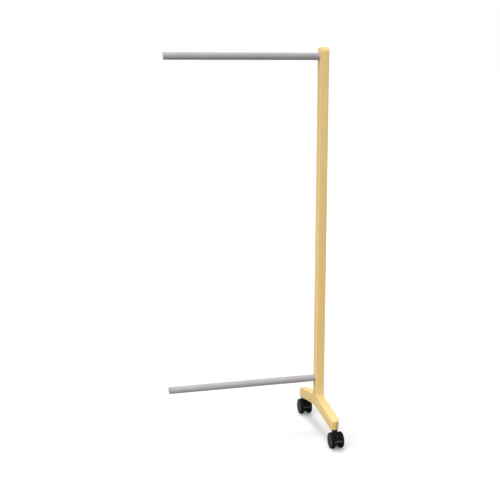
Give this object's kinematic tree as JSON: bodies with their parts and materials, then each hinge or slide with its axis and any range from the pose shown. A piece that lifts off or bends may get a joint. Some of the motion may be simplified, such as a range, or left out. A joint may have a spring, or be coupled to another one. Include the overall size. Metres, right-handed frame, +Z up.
{
  "type": "rolling partition bay",
  "caption": "Add-on bay of a rolling room partition: wooden stanchion with splayed legs on braked twin-wheel casters, and steel rails above and below for an infill panel.",
  "frame": {"origin": "middle of the bay's outline, on the floor", "axes": "+Z up, X along the rails with +X towards the stanchion, Y from the front leg to the rear leg"},
  "size_m": [0.7524, 0.5404, 1.797],
  "materials": {
    "wood": "pale clear-lacquered hardwood, satin",
    "rail_paint": "light grey powder coat, semi-matt",
    "zinc_steel": "bright zinc plate",
    "black_nylon": "black moulded nylon",
    "grey_nylon": "charcoal moulded nylon",
    "tyre": "black soft tread, matt",
    "cap_plastic": "beige-grey cover cap, satin"
  },
  "bodies": {
    "frame": {"post": "wood", "front_leg": "wood", "rear_leg": "wood", "lower_leg_dowel": "wood", "upper_leg_dowel": "wood", "lower_rail": "rail_paint", "lower_rail_outer_plug": "rail_paint", "lower_rail_inner_plug": "zinc_steel", "lower_rail_bolt": "zinc_steel", "lower_rail_washer": "zinc_steel", "lower_rail_bolt_cap": "cap_plastic", "upper_rail": "rail_paint", "upper_rail_outer_plug": "rail_paint", "upper_rail_inner_plug": "zinc_steel", "upper_rail_bolt": "zinc_steel", "upper_rail_washer": "zinc_steel", "upper_rail_bolt_cap": "cap_plastic", "front_caster_stem_insert": "zinc_steel", "front_caster_stem": "zinc_steel", "rear_caster_stem_insert": "zinc_steel", "rear_caster_stem": "zinc_steel"},
    "front_swivel": {"front_caster_housing": "black_nylon", "front_caster_axle": "zinc_steel", "front_caster_brake_pin": "zinc_steel"},
    "front_left_wheel": {"front_caster_left_wheel": "black_nylon", "front_caster_left_tyre": "tyre", "front_caster_left_wheel_cap": "grey_nylon"},
    "front_right_wheel": {"front_caster_right_wheel": "black_nylon", "front_caster_right_tyre": "tyre", "front_caster_right_wheel_cap": "grey_nylon"},
    "front_pedal": {"front_caster_brake_pedal": "black_nylon"},
    "rear_swivel": {"rear_caster_housing": "black_nylon", "rear_caster_axle": "zinc_steel", "rear_caster_brake_pin": "zinc_steel"},
    "rear_left_wheel": {"rear_caster_left_wheel": "black_nylon", "rear_caster_left_tyre": "tyre", "rear_caster_left_wheel_cap": "grey_nylon"},
    "rear_right_wheel": {"rear_caster_right_wheel": "black_nylon", "rear_caster_right_tyre": "tyre", "rear_caster_right_wheel_cap": "grey_nylon"},
    "rear_pedal": {"rear_caster_brake_pedal": "black_nylon"}
  },
  "joints": [
    {"name": "front_caster_swivel", "type": "hinge", "parent": "frame", "child": "front_swivel", "pos_m": [0.34705, -0.20173, 0.08], "axis": [0, 0, 1], "continuous": true},
    {"name": "front_left_wheel_spin", "type": "hinge", "parent": "front_swivel", "child": "front_left_wheel", "pos_m": [0.3271, -0.22173, 0.03736], "axis": [1, 0, 0], "continuous": true},
    {"name": "front_right_wheel_spin", "type": "hinge", "parent": "front_swivel", "child": "front_right_wheel", "pos_m": [0.367, -0.22173, 0.03736], "axis": [1, 0, 0], "continuous": true},
    {"name": "front_brake_press", "type": "hinge", "parent": "front_swivel", "child": "front_pedal", "pos_m": [0.34705, -0.23973, 0.056], "axis": [1, 0, 0], "range_deg": [0, 11]},
    {"name": "rear_caster_swivel", "type": "hinge", "parent": "frame", "child": "rear_swivel", "pos_m": [0.34705, 0.25227, 0.08], "axis": [0, 0, 1], "continuous": true},
    {"name": "rear_left_wheel_spin", "type": "hinge", "parent": "rear_swivel", "child": "rear_left_wheel", "pos_m": [0.3271, 0.23227, 0.03736], "axis": [1, 0, 0], "continuous": true},
    {"name": "rear_right_wheel_spin", "type": "hinge", "parent": "rear_swivel", "child": "rear_right_wheel", "pos_m": [0.367, 0.23227, 0.03736], "axis": [1, 0, 0], "continuous": true},
    {"name": "rear_brake_press", "type": "hinge", "parent": "rear_swivel", "child": "rear_pedal", "pos_m": [0.34705, 0.21427, 0.056], "axis": [1, 0, 0], "range_deg": [0, 11]}
  ]
}
